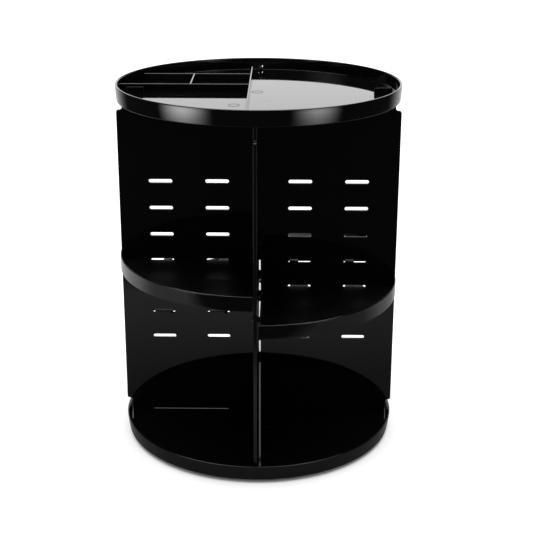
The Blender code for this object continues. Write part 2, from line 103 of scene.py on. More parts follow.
# Slotted panels
PANEL_THICKNESS = 2.8 * MM
PANEL_EDGE = 0.13 * MM
NECK_HALF_WIDTH = 112.4 * MM
LOWER_SHOULDER_Z = 20.5 * MM
UPPER_SHOULDER_Z = 280.7 * MM
SHOULDER_ROUNDING = 2.0 * MM
INSIDE_ROUNDING = 0.5 * MM
TAB_INNER = 94.0 * MM
TAB_OUTER = 109.0 * MM
TAB_ROUNDING = 1.5 * MM
CROSSING_Z = 151.0 * MM
CROSS_PANEL_X = -0.45 * MM
SLIT_HALF_WIDTH = 2.2 * MM
MAIN_SLIT_RIGHT = 1.6 * MM
FOOT_RELIEF = 0.6 * MM
FOOT_RELIEF_END = 27.0 * MM
SLOT_ROWS = 7
SLOT_PITCH = 23.31 * MM
SLOT_COLUMNS = (34.8 * MM, 82.2 * MM)
SLOT_LENGTH = 19.8 * MM
SLOT_HEIGHT = 3.3 * MM
SLOT_DROP = 0.55 * MM

# Shelf trays. The tongues run from and to these places beside a slot's middle.
SHELF_ARC_STEPS = 84
SHELF_SIDE_GAP = 2.2 * MM
SHELF_FLOOR = 2.3 * MM
SHELF_WALL = 2.0 * MM
SHELF_WALL_FOOT = 1.0 * MM
SHELF_CORNER = 6.0 * MM
SHELF_EDGE = 0.25 * MM
WIDE_TONGUE = (-7.9 * MM, 7.9 * MM)
NARROW_TONGUE = (-8.4 * MM, -0.9 * MM)
TONGUE_TIP = -4.0 * MM
TONGUE_ROUNDING = 3.0 * MM
SHELF_TURNS = {
    "shelf_back_right": 0,
    "shelf_back_left": 90,
    "shelf_front_left": 180,
    "shelf_front_right": 270,
}

# ---------------------------------------------------------------------------
# Table, surroundings and camera
# ---------------------------------------------------------------------------
# The right half of the table's outline. It is short in front, where the top rim mirrors the
# soft lights below the horizon instead.
TABLE_RIGHT = ((0.4, -0.46, 0.0), (0.7, -0.15, 0.0), (0.7, 0.5, 0.0))

# Brightness of the surroundings in reflections, by the sine of the elevation plus a half.
BAND_BEHIND = (
    (0.0, 0.5),
    (0.40, 0.55),
    (0.5, 0.6),
    (0.60, 0.8),
    (0.65, 1.0),
    (0.73, 1.0),
    (0.77, 0.12),
    (0.88, 0.12),
    (0.93, 0.57),
    (1.0, 0.57),
)
SIDE_LEVELS = (
    (0.0, 0.3),
    (0.1, 0.55),
    (0.14, 0.8),
    (0.17, 1.15),
    (0.21, 1.6),
    (0.26, 1.8),
    (0.32, 1.5),
    (0.42, 0.6),
    (0.55, 0.2),
    (0.8, 0.1),
)
BAND_STRENGTH = 1.88
AMBIENT = 0.03

# Soft lobes at the sides: direction in degrees, 0 in front and positive to the right, reach, brightness.
SIDE_GLOWS = ((-60.5, 26.0, 6.8), (48.5, 23.5, 4.2))

# Brightness of the white surroundings to the eye, and as light on the object.
SEEN_STRENGTH = 1.5
LIGHT_STRENGTH = 0.9

CAMERA_PLACE = (19.12 * MM, -945.03 * MM, 477.41 * MM)
CAMERA_YAW = -0.0132
CAMERA_PITCH = 0.3384
CAMERA_ROLL = 0.002
CAMERA_LENS = 78.88


# ---------------------------------------------------------------------------
# Materials
# ---------------------------------------------------------------------------
class Nodes:
    """Short calls to add and join the shader nodes of a material or a world."""

    def __init__(self, owner, coordinates="Object"):
        owner.use_nodes = True
        self.owner = owner
        self.tree = owner.node_tree
        self.shader = self.tree.nodes.get("Principled BSDF")
        self.place = self.add("ShaderNodeTexCoord").outputs[coordinates]

    def add(self, kind, **settings):
        node = self.tree.nodes.new(kind)
        for key, value in settings.items():
            setattr(node, key, value)
        return node

    def join(self, output, target):
        self.tree.links.new(output, target)

    def mapping(self, scale, turn=(0.0, 0.0, 0.0)):
        node = self.add("ShaderNodeMapping")
        node.inputs["Scale"].default_value = scale
        node.inputs["Rotation"].default_value = turn
        self.join(self.place, node.inputs["Vector"])
        return node.outputs["Vector"]

    def noise(self, vector, scale, detail=2.0, roughness=0.5):
        node = self.add("ShaderNodeTexNoise")
        node.inputs["Scale"].default_value = scale
        node.inputs["Detail"].default_value = detail
        node.inputs["Roughness"].default_value = roughness
        self.join(vector, node.inputs["Vector"])
        return node.outputs["Fac"]

    def remap(self, value, low, high, to_low, to_high):
        node = self.add("ShaderNodeMapRange")
        node.inputs["From Min"].default_value = low
        node.inputs["From Max"].default_value = high
        node.inputs["To Min"].default_value = to_low
        node.inputs["To Max"].default_value = to_high
        self.join(value, node.inputs["Value"])
        return node.outputs["Result"]

    def math(self, operation, first, second):
        node = self.add("ShaderNodeMath", operation=operation)
        for socket, value in zip(node.inputs, (first, second)):
            if isinstance(value, (int, float)):
                socket.default_value = value
            else:
                self.join(value, socket)
        return node.outputs["Value"]

    def ramp(self, value, stops, interpolation="EASE"):
        """A curve through (position, brightness) stops, with positions from 0 to 1."""
        node = self.add("ShaderNodeValToRGB")
        node.color_ramp.interpolation = interpolation
        elements = node.color_ramp.elements
        while len(elements) < len(stops):
            elements.new(0.5)
        for element, (position, brightness) in zip(elements, stops):
            element.position = position
            element.color = (brightness, brightness, brightness, 1.0)
        self.join(value, node.inputs["Fac"])
        return node.outputs["Color"]

    def mix_colour(self, factor, first, second):
        node = self.add("ShaderNodeMix", data_type="RGBA")
        self.join(factor, node.inputs["Factor"])
        node.inputs["A"].default_value = (*first, 1.0)
        node.inputs["B"].default_value = (*second, 1.0)
        return node.outputs["Result"]

    def bump(self, height, strength, distance, normal=None):
        node = self.add("ShaderNodeBump")
        node.inputs["Strength"].default_value = strength
        node.inputs["Distance"].default_value = distance
        self.join(height, node.inputs["Height"])
        if normal is not None:
            self.join(normal, node.inputs["Normal"])
        return node.outputs["Normal"]


def scratches(nodes, width):
    """A mask of fine straight scratches, which run in three directions."""
    total = None
    threshold = 0.71
    for stretch, turn in (((6, 900, 6), 0.35), ((900, 7, 5), -0.5), ((5, 8, 800), 1.1)):
        vector = nodes.mapping(stretch, (turn, 0.6 * turn, turn))
        fine = nodes.noise(vector, scale=1.0, detail=1.0)
        mask = nodes.remap(fine, threshold, threshold + width, 0.0, 1.0)
        total = mask if total is None else nodes.math("MAXIMUM", total, mask)
    patches = nodes.remap(nodes.noise(nodes.place, scale=22.0), 0.5, 0.62, 0.0, 1.0)
    return nodes.math("MULTIPLY", total, patches)


def plastic(name, colour, low_gloss, high_gloss, waviness, reflectance=0.5):
    """Moulded plastic: uneven gloss, slow waviness, fine scratches and a little dust."""
    nodes = Nodes(bpy.data.materials.new(name))
    scratch = scratches(nodes, width=0.03)
    cloudy = nodes.noise(nodes.place, scale=35.0, detail=4.0, roughness=0.6)
    gloss = nodes.remap(cloudy, 0.35, 0.7, low_gloss, high_gloss)
    worn = nodes.math("MULTIPLY", scratch, 0.25)
    nodes.join(nodes.math("ADD", gloss, worn), nodes.shader.inputs["Roughness"])
    specks = nodes.remap(nodes.noise(nodes.place, scale=1500.0, detail=1.0), 0.735, 0.76, 0.0, 1.0)
    sparse = nodes.remap(nodes.noise(nodes.place, scale=45.0), 0.52, 0.68, 0.0, 1.0)
    dust = nodes.math("MULTIPLY", specks, sparse)
    dusty = tuple(0.06 + 0.7 * value for value in colour)
    nodes.join(nodes.mix_colour(dust, colour, dusty), nodes.shader.inputs["Base Color"])
    wave = nodes.noise(nodes.place, scale=14.0, detail=1.0)
    normal = nodes.bump(wave, waviness, 2.0 * MM)
    fine = nodes.noise(nodes.place, scale=900.0)
    normal = nodes.bump(fine, 0.012, 0.2 * MM, normal)
    normal = nodes.bump(scratch, 0.02, -0.2 * MM, normal)
    nodes.join(normal, nodes.shader.inputs["Normal"])
    nodes.shader.inputs["IOR"].default_value = 1.5
    nodes.shader.inputs["Specular IOR Level"].default_value = reflectance
    return nodes.owner


def steel(name):
    """Ground steel with fine level grain and small spots."""
    nodes = Nodes(bpy.data.materials.new(name))
    grain = nodes.noise(nodes.mapping((40, 40, 900)), scale=12.0, detail=3.0)
    nodes.join(nodes.remap(grain, 0.3, 0.7, 0.16, 0.34), nodes.shader.inputs["Roughness"])
    spots = nodes.remap(nodes.noise(nodes.place, scale=260.0, detail=3.0), 0.6, 0.7, 0.0, 1.0)
    colour = nodes.mix_colour(spots, (0.62, 0.62, 0.63), (0.45, 0.43, 0.4))
    nodes.join(colour, nodes.shader.inputs["Base Color"])
    nodes.join(nodes.bump(grain, 0.08, 0.1 * MM), nodes.shader.inputs["Normal"])
    nodes.shader.inputs["Metallic"].default_value = 1.0
    return nodes.owner


def rubber(name):
    """Matt rubber with a grainy face and pale dust."""
    nodes = Nodes(bpy.data.materials.new(name))
    grain = nodes.noise(nodes.place, scale=1400.0, detail=3.0)
    dust = nodes.remap(nodes.noise(nodes.place, scale=120.0, detail=4.0), 0.5, 0.75, 0.0, 0.6)
    colour = nodes.mix_colour(dust, (0.018, 0.018, 0.018), (0.07, 0.068, 0.063))
    nodes.join(colour, nodes.shader.inputs["Base Color"])
    nodes.join(nodes.remap(grain, 0.3, 0.7, 0.65, 0.9), nodes.shader.inputs["Roughness"])
    nodes.join(nodes.bump(grain, 0.35, 0.2 * MM), nodes.shader.inputs["Normal"])
    return nodes.owner


BLACK = (0.0016, 0.0016, 0.0018)
MATERIALS = {
    "panels": plastic("gloss_black_panels", BLACK, 0.012, 0.03, 0.010),
    "trays": plastic("gloss_black_trays", BLACK, 0.02, 0.05, 0.014),
    "shelves": plastic("gloss_black_shelves", BLACK, 0.025, 0.06, 0.014),
    "shelf_floors": plastic("satin_black_shelf_floors", BLACK, 0.3, 0.42, 0.02, 0.35),
    "cut_edges": plastic("satin_black_cut_edges", (0.002, 0.002, 0.0022), 0.12, 0.2, 0.03),
    "tab_edges": plastic("dull_black_tab_edges", BLACK, 0.5, 0.65, 0.03, 0.08),
    "base": plastic("satin_black_base", (0.012, 0.012, 0.0125), 0.3, 0.45, 0.05),
    "cage": plastic("natural_white_cage", (0.72, 0.72, 0.69), 0.35, 0.5, 0.05),
    "steel": steel("bearing_steel"),
    "rubber": rubber("foot_rubber"),
}


def paint_cad(names, material):
    """Give CAD nodes a finished material."""
    for name in names:
        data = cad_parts[name].data
        data.materials.clear()
        data.materials.append(MATERIALS[material])


# ---------------------------------------------------------------------------
# Mesh making
# ---------------------------------------------------------------------------
def rounded(corners, segments=5):
    """The points of a polygon whose (x, y, rounding) corners are replaced by arcs."""
    points = []
    count = len(corners)
    for i, (x, y, rounding) in enumerate(corners):
        if rounding == 0.0:
            points.append((x, y))
            continue
        before = corners[i - 1]
        after = corners[(i + 1) % count]
        to_before = math.atan2(before[1] - y, before[0] - x)
        to_after = math.atan2(after[1] - y, after[0] - x)
        opening = (to_after - to_before + math.pi) % (2 * math.pi) - math.pi
        middle = to_before + opening / 2
        reach = rounding / abs(math.sin(opening / 2))
        centre_x = x + reach * math.cos(middle)
        centre_y = y + reach * math.sin(middle)
        sweep = (math.pi - abs(opening)) * math.copysign(1.0, opening)
        for k in range(segments + 1):
            angle = middle + math.pi + sweep * (0.5 - k / segments)
            points.append((centre_x + rounding * math.cos(angle), centre_y + rounding * math.sin(angle)))
    return points


def paint_cut_edges(piece, axis):
    """Give the narrow faces round a sheet, which do not face along the axis, their own finish.

    The softened edges belong to the sheet's broad faces, except on the tabs in the top tray.
    """
    slots = {}
    for finish in ("cut_edges", "tab_edges"):
        slots[finish] = len(piece.data.materials)
        piece.data.materials.append(MATERIALS[finish])
    for face in piece.data.polygons:
        facing = abs(face.normal[axis])
        if facing < 0.98 and face.center.z > TOP_FLOOR_TOP_Z:
            face.material_index = slots["tab_edges"]
        elif facing < 0.5:
            face.material_index = slots["cut_edges"]


def mesh_object(name, bm, material):
    """A linked object from a bmesh, with outward normals."""
    bmesh.ops.recalc_face_normals(bm, faces=bm.faces)
    mesh = bpy.data.meshes.new(name)
    bm.to_mesh(mesh)
    bm.free()
    mesh.materials.append(MATERIALS[material])
    piece = bpy.data.objects.new(name, mesh)
    bpy.context.scene.collection.objects.link(piece)
    return piece


def smooth(piece, angle=32.0):
    """Smooth shading that keeps flat faces flat, and edges sharper than the angle in degrees crisp."""
    mesh = piece.data
    mesh.polygons.foreach_set("use_smooth", [True] * len(mesh.polygons))
    mesh.set_sharp_from_angle(angle=math.radians(angle))
    weighted = piece.modifiers.new("weighted_normals", "WEIGHTED_NORMAL")
    weighted.keep_sharp = True
    weighted.weight = 100


def settle(piece):
    """Apply the modifiers of a piece."""
    graph = bpy.context.evaluated_depsgraph_get()
    mesh = bpy.data.meshes.new_from_object(piece.evaluated_get(graph))
    piece.modifiers.clear()
    old = piece.data
    piece.data = mesh
    bpy.data.meshes.remove(old)


def cut(piece, boxes):
    """Cut boxes, given by two opposite corners, out of a piece."""
    bm = bmesh.new()
    for low, high in boxes:
        size = [high[i] - low[i] for i in range(3)]
        centre = [(high[i] + low[i]) / 2 for i in range(3)]
        matrix = Matrix.Translation(centre) @ Matrix.Diagonal((*size, 1.0))
        bmesh.ops.create_cube(bm, size=1.0, matrix=matrix)
    subtract(piece, bm)


def subtract(piece, bm):
    """Cut the closed shapes of a bmesh out of a piece."""
    tool = mesh_object("tool", bm, "trays")
    modifier = piece.modifiers.new("cut", "BOOLEAN")
    modifier.operation = "DIFFERENCE"
    modifier.solver = "EXACT"
    modifier.object = tool
    settle(piece)
    bpy.data.objects.remove(tool, do_unlink=True)


def turned_bmesh(profile, steps):
    """A solid turned about +Z from (radius, height) points, both ends on the axis."""
    bm = bmesh.new()
    rings = []
    for radius, z in profile:
        if radius == 0.0:
            rings.append([bm.verts.new((0.0, 0.0, z))] * steps)
            continue
        ring = []
        for k in range(steps):
            angle = 2 * math.pi * k / steps
            ring.append(bm.verts.new((radius * math.cos(angle), radius * math.sin(angle), z)))
        rings.append(ring)
    for upper, lower in zip(rings, rings[1:]):
        for k in range(steps):
            after = (k + 1) % steps
            corners = []
            for vert in (upper[k], upper[after], lower[after], lower[k]):
                if vert not in corners:
                    corners.append(vert)
            bm.faces.new(corners)
    return bm


# ---------------------------------------------------------------------------
# Round trays
# ---------------------------------------------------------------------------
def wall_points(lip_radius, skirt_radius, rim_top, skirt_z):
    """Points down the outer side of a flared rim, which is faintly convex."""
    points = []
    for k in range(1, 10):
        share = k / 10
        radius = lip_radius + share * (skirt_radius - lip_radius)
        radius -= WALL_BULGE * (2 * share - 1) ** 2
        points.append((radius, rim_top + share * (skirt_z - rim_top), 0.0))
    return points


def tray_profile(lip_radius, skirt_radius, rim_top, floor_top, skirt_z, inside_fillet):
    """Half section of a tray, from the middle of its floor round the rim to its underside."""
    inner = skirt_radius - TRAY_WALL
    underside = floor_top - TRAY_FLOOR
    corners = [
        (0.0, floor_top, 0.0),
        (inner - 6 * MM, floor_top, 0.0),
        (inner, floor_top, inside_fillet),
        (lip_radius - TRAY_WALL, rim_top, RIM_ROUNDING),
        (lip_radius, rim_top, RIM_ROUNDING),
        *wall_points(lip_radius, skirt_radius, rim_top, skirt_z),
        (skirt_radius - WALL_BULGE, skirt_z, SKIRT_ROUNDING),
        (inner + 0.1 * MM, skirt_z, INNER_ROUNDING),
        (inner, underside, INNER_ROUNDING),
        (inner - 4 * MM, underside, 0.0),
        (0.0, underside, 0.0),
    ]
    return rounded(corners)


def tab_slots(low_z, high_z):
    """Boxes for the slots in a tray's floor that take the panels' tabs."""
    half_length = (TAB_OUTER - TAB_INNER) / 2 + CLEARANCE
    half_width = PANEL_THICKNESS / 2 + CLEARANCE
    centre = (TAB_OUTER + TAB_INNER) / 2
    boxes = []
    for side in (-1, 1):
        near = side * centre - half_length
        far = side * centre + half_length
        left = CROSS_PANEL_X - half_width
        right = CROSS_PANEL_X + half_width
        boxes.append(((near, -half_width, low_z), (far, half_width, high_z)))
        boxes.append(((left, near, low_z), (right, far, high_z)))
    return boxes


def add_wall(bm, start, end, foot_z, top_z, thickness):
    """A low wall with a round top, slightly thicker at its foot, from start to end."""
    run = Vector((end[0] - start[0], end[1] - start[1], 0.0))
    across = Vector((-run.y, run.x, 0.0)).normalized()
    half = thickness / 2
    section = rounded(
        [
            (-half - DIVIDER_DRAFT, foot_z - DIVIDER_SINK, 0.0),
            (half + DIVIDER_DRAFT, foot_z - DIVIDER_SINK, 0.0),
            (half, top_z, half * 0.85),
            (-half, top_z, half * 0.85),
        ]
    )
    rings = []
    for x, y in (start, end):
        ring = [bm.verts.new((x + across.x * side, y + across.y * side, z)) for side, z in section]
        rings.append(ring)
    count = len(section)
    for k in range(count):
        after = (k + 1) % count
        bm.faces.new((rings[0][k], rings[0][after], rings[1][after], rings[1][k]))
    bm.faces.new(rings[0])
    bm.faces.new(list(reversed(rings[1])))


def add_gate_mark(bm, x, y, z):
    """A shallow ring that the mould's gate left on a floor. Its section is in mm."""
    section = ((4.9, -0.1), (4.8, 0.1), (4.55, 0.16), (4.3, 0.1), (4.2, -0.1))
    rings = []
    for radius, height in section:
        ring = []
        for k in range(GATE_MARK_STEPS):
            angle = 2 * math.pi * k / GATE_MARK_STEPS
            place = (x + radius * MM * math.cos(angle), y + radius * MM * math.sin(angle), z + height * MM)
            ring.append(bm.verts.new(place))
        rings.append(ring)
    for outer, inner in zip(rings, rings[1:] + rings[:1]):
        for k in range(GATE_MARK_STEPS):
            after = (k + 1) % GATE_MARK_STEPS
            bm.faces.new((outer[k], outer[after], inner[after], inner[k]))


def cut_rim_marks(tray, radius):
    """Cut the round marks in from the outside of a rim."""
    pins = bmesh.new()
    for direction, depth, size in RIM_MARKS:
        angle = math.radians(direction)
        reach = radius + 1.0 * MM - depth / 2
        place = Matrix.Translation((reach * math.cos(angle), reach * math.sin(angle), RIM_MARK_Z))
        matrix = place @ Matrix.Rotation(angle, 4, "Z") @ Matrix.Rotation(math.pi / 2, 4, "Y")
        bmesh.ops.create_cone(
            pins, cap_ends=True, segments=24, radius1=size, radius2=size, depth=depth, matrix=matrix
        )
    subtract(tray, pins)


def chord(offset, radius):
    """Half the length of a circle's chord at an offset from its middle."""
    return math.sqrt(radius * radius - offset * offset)


def add_dividers(bm, radius):
    """The top tray's four dividers, which end inside the rim at the radius."""
    long_end = chord(DIVIDER_X, radius)
    front_start = (-chord(FRONT_DIVIDER_Y, radius), FRONT_DIVIDER_Y)
    rear_start = (-chord(REAR_DIVIDER_Y, radius), REAR_DIVIDER_Y)
    walls = (
        ((DIVIDER_X, -long_end), (DIVIDER_X, long_end), 0),
        (front_start, (DIVIDER_X, FRONT_DIVIDER_Y), 1),
        (rear_start, (DIVIDER_X, REAR_DIVIDER_Y), 1),
        ((SHORT_DIVIDER_X, FRONT_DIVIDER_Y), (SHORT_DIVIDER_X, REAR_DIVIDER_Y), 2),
    )
    for start, end, steps_down in walls:
        top_z = DIVIDER_TOP_Z - steps_down * DIVIDER_STEP
        add_wall(bm, start, end, TOP_FLOOR_TOP_Z, top_z, DIVIDER_THICKNESS)


def make_top_tray():
    """The divided top tray, one moulding."""
    low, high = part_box("top_tray")
    radius = TOP_SKIRT_RADIUS
    profile = tray_profile(high.x, radius, high.z, TOP_FLOOR_TOP_Z, low.z, TOP_FLOOR_FILLET)
    tray = mesh_object("top_tray_finished", turned_bmesh(profile, TRAY_STEPS), "trays")
    cut(tray, tab_slots(TOP_FLOOR_TOP_Z - 5 * MM, TOP_FLOOR_TOP_Z + 2 * MM))
    cut_rim_marks(tray, radius)
    bm = bmesh.new()
    bm.from_mesh(tray.data)
    add_dividers(bm, radius - TRAY_WALL / 2)
    for x, y in GATE_MARK_PLACES:
        add_gate_mark(bm, x, y, TOP_FLOOR_TOP_Z)
    bm.to_mesh(tray.data)
    bm.free()
    smooth(tray)
    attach(tray, "top_tray")
    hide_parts("top_tray")


def add_rib(bm, angle, underside, foot_z):
    """A radial rib that hangs from a tray's underside. It is built upside down and turned over."""
    start = (RIB_INNER * math.cos(angle), RIB_INNER * math.sin(angle))
    end = (RIB_OUTER * math.cos(angle), RIB_OUTER * math.sin(angle))
    rib = bmesh.new()
    add_wall(rib, start, end, -underside, -foot_z, RIB_THICKNESS)
    bmesh.ops.scale(rib, vec=(1.0, 1.0, -1.0), verts=rib.verts)
    bmesh.ops.reverse_faces(rib, faces=rib.faces)
    mesh = bpy.data.meshes.new("rib")
    rib.to_mesh(mesh)
    rib.free()
    bm.from_mesh(mesh)
    bpy.data.meshes.remove(mesh)


def make_bottom_tray():
    """The bottom tray, with the ball race, the screw's boss and the ribs under its floor."""
    low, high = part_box("bottom_tray")
    radius = BOTTOM_SKIRT_RADIUS
    profile = tray_profile(high.x, radius, high.z, BOTTOM_FLOOR_TOP_Z, low.z, BOTTOM_FLOOR_FILLET)
    underside = BOTTOM_FLOOR_TOP_Z - TRAY_FLOOR
    profile = profile[:-1]
    profile += [(r * MM, underside + z * MM) for r, z in BALL_RACE + SCREW_BOSS]
    tray = mesh_object("bottom_tray_finished", turned_bmesh(profile, TRAY_STEPS), "trays")
    cut(tray, tab_slots(underside - 1 * MM, BOTTOM_FLOOR_TOP_Z + 1 * MM))
    bm = bmesh.new()
    bm.from_mesh(tray.data)
    for k in range(RIB_COUNT):
        add_rib(bm, 2 * math.pi * (k + 0.5) / RIB_COUNT, underside, low.z + RIB_LIFT)
    bm.to_mesh(tray.data)
    bm.free()
    smooth(tray)
    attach(tray, "carousel")
    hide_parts("bottom_tray")


# ---------------------------------------------------------------------------
# Slotted panels
# ---------------------------------------------------------------------------
def row_z(row):
    """Height of a row of slots, counted from 1 at the top."""
    return CROSSING_Z + ((SLOT_ROWS + 1) / 2 - row) * SLOT_PITCH


def stadium(centre_x, centre_y, half_length, half_height, segments=12):
    """The outline of a slot with round ends."""
    points = []
    straight = half_length - half_height
    for side in (1, -1):
        start = -math.pi / 2 if side == 1 else math.pi / 2
        for k in range(segments + 1):
            angle = start + math.pi * k / segments
            x = centre_x + side * straight + half_height * math.cos(angle)
            points.append((x, centre_y + half_height * math.sin(angle)))
    return points


def panel_outline(half_width, low_z, high_z, open_below):
    """A panel's outline with its tabs, shoulders and slit, which is open below or above.

    The panel that is open below stands a little higher along most of its left foot.
    """
    bottom = BOTTOM_FLOOR_TOP_Z + CLEARANCE
    top = TOP_FLOOR_TOP_Z - TRAY_FLOOR - CLEARANCE
    inside = INSIDE_ROUNDING
    right = [
        (TAB_INNER, bottom, 0.0),
        (TAB_INNER, low_z, TAB_ROUNDING),
        (TAB_OUTER, low_z, TAB_ROUNDING),
        (TAB_OUTER, bottom, 0.0),
        (NECK_HALF_WIDTH, bottom, inside),
        (NECK_HALF_WIDTH, LOWER_SHOULDER_Z, SHOULDER_ROUNDING),
        (half_width, LOWER_SHOULDER_Z, SHOULDER_ROUNDING),
        (half_width, UPPER_SHOULDER_Z, SHOULDER_ROUNDING),
        (NECK_HALF_WIDTH, UPPER_SHOULDER_Z, SHOULDER_ROUNDING),
        (NECK_HALF_WIDTH, top, inside),
        (TAB_OUTER, top, 0.0),
        (TAB_OUTER, high_z, TAB_ROUNDING),
        (TAB_INNER, high_z, TAB_ROUNDING),
        (TAB_INNER, top, 0.0),
    ]
    left = [(-x, z, rounding) for x, z, rounding in reversed(right)]
    side = SLIT_HALF_WIDTH
    if open_below:
        end = CROSSING_Z + CLEARANCE
        slit = [(-side, bottom, 0.0), (-side, end, inside)]
        slit += [(MAIN_SLIT_RIGHT, end, inside), (MAIN_SLIT_RIGHT, bottom, 0.0)]
        left[-1] = (-TAB_INNER, bottom + FOOT_RELIEF, 0.0)
        relief = [(-FOOT_RELIEF_END, bottom + FOOT_RELIEF, 0.0), (-FOOT_RELIEF_END, bottom, 0.0)]
        return rounded(right + left + relief + slit)
    end = CROSSING_Z - CLEARANCE
    slit = [(side, top, 0.0), (side, end, inside), (-side, end, inside), (-side, top, 0.0)]
    return rounded(right + slit + left)


def panel_bmesh(name, outline):
    """A flat sheet with rows of slots and softened edges, from a curve along X and Y."""
    curve = bpy.data.curves.new(name, "CURVE")
    curve.dimensions = "2D"
    curve.fill_mode = "BOTH"
    curve.extrude = PANEL_THICKNESS / 2 - PANEL_EDGE
    curve.bevel_depth = PANEL_EDGE
    curve.bevel_resolution = 2
    curve.offset = -PANEL_EDGE
    loops = [outline]
    for row in range(1, SLOT_ROWS + 1):
        height = row_z(row) - SLOT_DROP
        for column in SLOT_COLUMNS:
            for side in (-1, 1):
                loops.append(stadium(side * column, height, SLOT_LENGTH / 2, SLOT_HEIGHT / 2))
    for loop in loops:
        spline = curve.splines.new("POLY")
        spline.points.add(len(loop) - 1)
        for point, (along, height) in zip(spline.points, loop):
            point.co = (along, height, 0.0, 1.0)
        spline.use_cyclic_u = True
    sheet = bpy.data.objects.new(name, curve)
    bpy.context.scene.collection.objects.link(sheet)
    graph = bpy.context.evaluated_depsgraph_get()
    mesh = bpy.data.meshes.new_from_object(sheet.evaluated_get(graph))
    bpy.data.objects.remove(sheet, do_unlink=True)
    bm = bmesh.new()
    bm.from_mesh(mesh)
    bpy.data.meshes.remove(mesh)
    bmesh.ops.remove_doubles(bm, verts=bm.verts, dist=0.002 * MM)
    return bm


def make_panel(node, open_below, turn, x):
    """A slotted panel, turned about +Z and moved along X to its place."""
    low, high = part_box(node)
    half_width = max(high.x, high.y)
    bm = panel_bmesh(node + "_sheet", panel_outline(half_width, low.z, high.z, open_below))
    place = Matrix.Translation((x, 0.0, 0.0)) @ Matrix.Rotation(turn, 4, "Z")
    bmesh.ops.transform(bm, matrix=place @ Matrix.Rotation(math.pi / 2, 4, "X"), verts=bm.verts)
    panel = mesh_object(node + "_finished", bm, "panels")
    paint_cut_edges(panel, 0 if turn else 1)
    smooth(panel)
    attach(panel, "carousel")
    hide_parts(node)


# ---------------------------------------------------------------------------
# Shelf trays
# ---------------------------------------------------------------------------
def arc_points(radius):
    """A quarter circle that stops short of both panels."""
    start = math.asin(SHELF_SIDE_GAP / radius)
    sweep = math.pi / 2 - 2 * start
    points = []
    for i in range(SHELF_ARC_STEPS + 1):
        angle = start + sweep * i / SHELF_ARC_STEPS
        points.append((radius * math.cos(angle), radius * math.sin(angle)))
    return points


def shelf_side(tongue):
    """Straight edge of a shelf along +Y, from the rim to the corner, with its two tongues."""
    corners = []
    for column in reversed(SLOT_COLUMNS):
        near = column + tongue[0]
        far = column + tongue[1]
        corners.append((SHELF_SIDE_GAP, far, 0.0))
        corners.append((TONGUE_TIP, far, TONGUE_ROUNDING))
        corners.append((TONGUE_TIP, near, TONGUE_ROUNDING))
        corners.append((SHELF_SIDE_GAP, near, 0.0))
    return corners


def swapped(corners):
    """The same edge along +X, from the corner to the rim."""
    return [(y, x, rounding) for x, y, rounding in reversed(corners)]


def shelf_bmesh(radius, rim_height):
    """A quarter-circle tray in the +X +Y quarter, its floor's top at z = 0."""
    inner_radius = radius - SHELF_WALL
    inner = arc_points(inner_radius)
    straight = [(inner[-1][0], inner[-1][1], 0.0)] + shelf_side(WIDE_TONGUE)
    straight += [(SHELF_SIDE_GAP, SHELF_SIDE_GAP, SHELF_CORNER)] + swapped(shelf_side(NARROW_TONGUE))
    straight += [(inner[0][0], inner[0][1], 0.0)]
    edge = rounded(straight, 8)
    bm = bmesh.new()
    outer = arc_points(radius)
    low = [bm.verts.new((x, y, -SHELF_FLOOR)) for x, y in outer + edge]
    level = [bm.verts.new((x, y, 0.0)) for x, y in outer + edge]
    bm.faces.new(list(reversed(low)))
    for i in range(len(low)):
        after = (i + 1) % len(low)
        bm.faces.new((low[i], low[after], level[after], level[i]))
    last = len(outer) - 1
    foot = [level[-1]] + [bm.verts.new((x, y, 0.0)) for x, y in inner[1:-1]] + [level[last + 1]]
    bm.faces.new(foot + level[last + 2 : -1])
    section = rounded(
        [
            (inner_radius, SHELF_WALL_FOOT, 0.0),
            (inner_radius, rim_height, RIM_ROUNDING),
            (radius, rim_height, RIM_ROUNDING),
            (radius, SHELF_WALL_FOOT, 0.0),
        ]
    )
    columns = [[vert] for vert in level[: last + 1]]
    for ring_radius, z in reversed(section):
        for column, (x, y) in zip(columns, arc_points(ring_radius)):
            column.append(bm.verts.new((x, y, z)))
    for column, vert in zip(columns, foot):
        column.append(vert)
    for here, there in zip(columns, columns[1:]):
        for k in range(len(here) - 1):
            bm.faces.new((here[k], there[k], there[k + 1], here[k + 1]))
    bm.faces.new(list(reversed(columns[0])))
    bm.faces.new(columns[-1])
    return bm


def make_shelf(node, turn):
    """A shelf tray, turned about +Z in degrees to its quarter, with a satin floor."""
    low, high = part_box(node)
    radius = max(abs(low.x), abs(high.x), abs(low.y), abs(high.y))
    floor_z = low.z + SHELF_FLOOR
    bm = shelf_bmesh(radius, high.z - floor_z)
    matrix = Matrix.Translation((0.0, 0.0, floor_z)) @ Matrix.Rotation(math.radians(turn), 4, "Z")
    bmesh.ops.transform(bm, matrix=matrix, verts=bm.verts)
    shelf = mesh_object(node + "_finished", bm, "shelves")
    bevel = shelf.modifiers.new("edges", "BEVEL")
    bevel.width = SHELF_EDGE
    bevel.segments = 2
    bevel.limit_method = "ANGLE"
    bevel.angle_limit = math.radians(40)
    bevel.use_clamp_overlap = True
    settle(shelf)
    floor_slot = len(shelf.data.materials)
    shelf.data.materials.append(MATERIALS["shelf_floors"])
    for face in shelf.data.polygons:
        if face.normal.z > 0.7 and face.center.z < floor_z + SHELF_WALL_FOOT:
            face.material_index = floor_slot
    smooth(shelf)
    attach(shelf, node)
    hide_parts(node)


